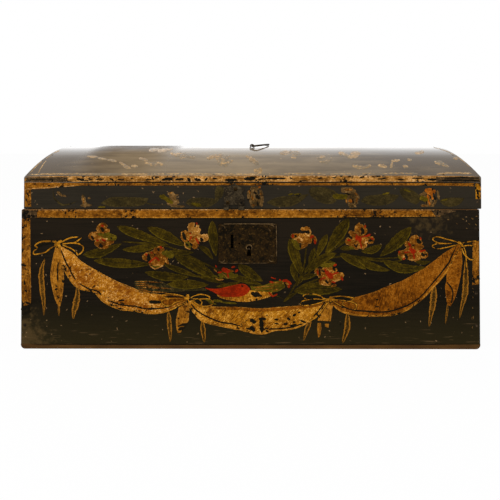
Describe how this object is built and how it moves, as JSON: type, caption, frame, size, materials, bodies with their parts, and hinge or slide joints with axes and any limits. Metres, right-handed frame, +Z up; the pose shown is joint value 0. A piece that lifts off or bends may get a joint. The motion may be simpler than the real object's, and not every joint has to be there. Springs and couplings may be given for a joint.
{
  "type": "trunk",
  "caption": "Small antique painted wooden marriage chest with a vaulted hinged lid, iron lock, hasp plate and lid bail.",
  "frame": {"origin": "middle of the flat underside that the chest rests on", "axes": "+X to the right along the front, +Y to the back, +Z up"},
  "size_m": [0.5524, 0.3363, 0.2479],
  "materials": {
    "painted_beech": "satin",
    "bare_beech": "matte",
    "forged_iron": "matte",
    "cut_nail_iron": "matte",
    "filed_iron": "satin"
  },
  "bodies": {
    "base": {"base_front_board": "painted_beech", "base_back_board": "painted_beech", "base_left_end": "painted_beech", "base_right_end": "painted_beech", "bottom_board": "bare_beech", "base_corner_nails": "cut_nail_iron", "bottom_nails": "cut_nail_iron", "lock_plate": "forged_iron", "lock_plate_nails": "forged_iron", "lock_case": "forged_iron", "lock_case_nails": "forged_iron", "bolt_left_guide": "filed_iron", "bolt_right_guide": "filed_iron", "bolt_spring": "filed_iron", "drill_pin": "filed_iron", "lock_ward": "filed_iron", "left_hinge_base_leaf": "forged_iron", "left_hinge_pin": "forged_iron", "right_hinge_base_leaf": "forged_iron", "right_hinge_pin": "forged_iron", "base_hinge_nails": "forged_iron"},
    "lid": {"lid_front_board": "painted_beech", "lid_back_board": "painted_beech", "lid_left_end": "painted_beech", "lid_right_end": "painted_beech", "vault_board": "painted_beech", "lid_corner_nails": "cut_nail_iron", "vault_nails": "cut_nail_iron", "hasp_plate": "forged_iron", "hasp_nails": "forged_iron", "left_hinge_lid_leaf": "forged_iron", "right_hinge_lid_leaf": "forged_iron", "lid_hinge_nails": "forged_iron", "front_bail_staple": "forged_iron", "rear_bail_staple": "forged_iron"},
    "bail": {"lid_bail": "forged_iron"},
    "bolt": {"lock_bolt": "filed_iron"}
  },
  "joints": [
    {"name": "lid_hinge", "type": "hinge", "parent": "base", "child": "lid", "pos_m": [0, 0.1658, 0.1672], "axis": [-1, 0, 0], "range_deg": [0, 105]},
    {"name": "bail_swing", "type": "hinge", "parent": "lid", "child": "bail", "pos_m": [0.0024, 0, 0.24355], "axis": [0, -1, 0], "range_deg": [0, 166.7]},
    {"name": "bolt_throw", "type": "slide", "parent": "base", "child": "bolt", "axis": [-1, 0, 0], "range_m": [0, 0.0075]}
  ]
}
